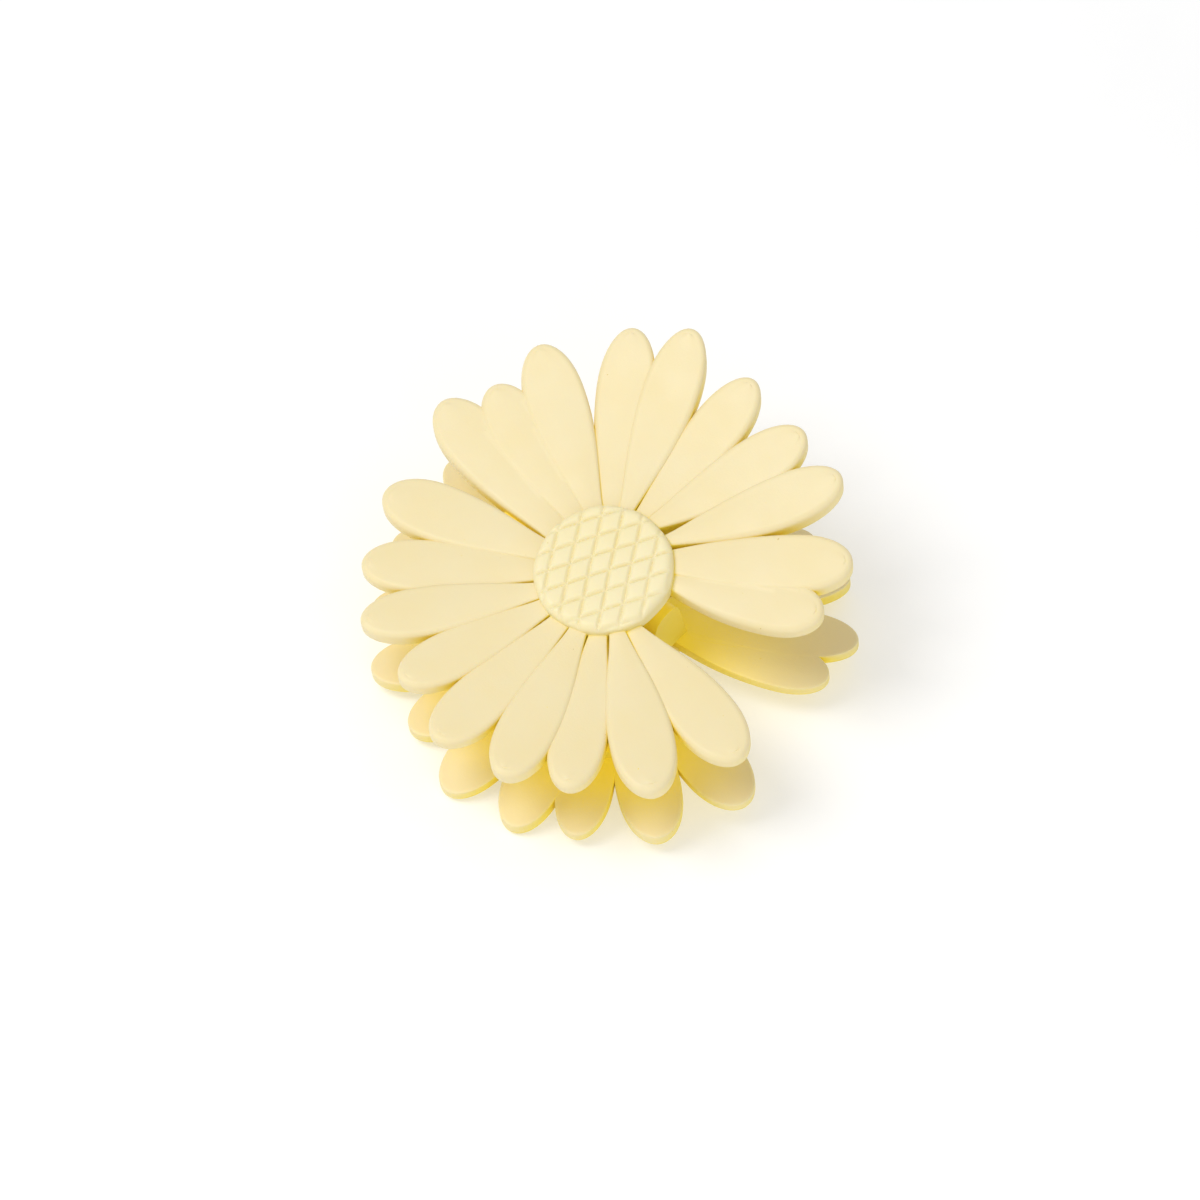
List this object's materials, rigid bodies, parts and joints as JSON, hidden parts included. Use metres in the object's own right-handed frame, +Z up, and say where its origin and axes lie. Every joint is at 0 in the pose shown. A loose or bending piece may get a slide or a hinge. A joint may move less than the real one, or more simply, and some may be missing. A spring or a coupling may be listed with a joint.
{
  "type": "flower hair clip",
  "caption": "Spring claw clip whose two halves are matching bent daisies with a hatched centre, hinged on a steel pin, with curved claw teeth between them.",
  "frame": {"origin": "middle of the clip's box at table height, with the clip lying on its rear flower", "axes": "+X along the hinge pin, through the open place between two petals; +Y towards the finger levers, with the jaw at -Y; +Z up, through the front flower"},
  "size_m": [0.0712, 0.0734, 0.034],
  "materials": {
    "petals": "soft matte pale butter yellow",
    "button": "soft matte pale butter yellow",
    "claw": "matte pale yellow, as moulded",
    "pin_steel": "drawn steel",
    "spring_steel": "dark oil-tempered spring wire"
  },
  "bodies": {
    "rear_half": {"rear_flower": "petals", "rear_button": "button", "rear_claw_teeth": "claw", "rear_hinge_lugs": "claw", "hinge_pin": "pin_steel", "torsion_spring": "spring_steel"},
    "front_half": {"front_flower": "petals", "front_button": "button", "front_claw_teeth": "claw", "front_hinge_lugs": "claw"}
  },
  "joints": [
    {"name": "jaw_hinge", "type": "hinge", "parent": "rear_half", "child": "front_half", "pos_m": [0, 0.00147, 0.01309], "axis": [-1, 0, 0], "range_deg": [0, 42], "stiffness_Nm_per_rad": 0.16, "springref_deg": -28.65, "deforming": ["torsion_spring"]}
  ]
}
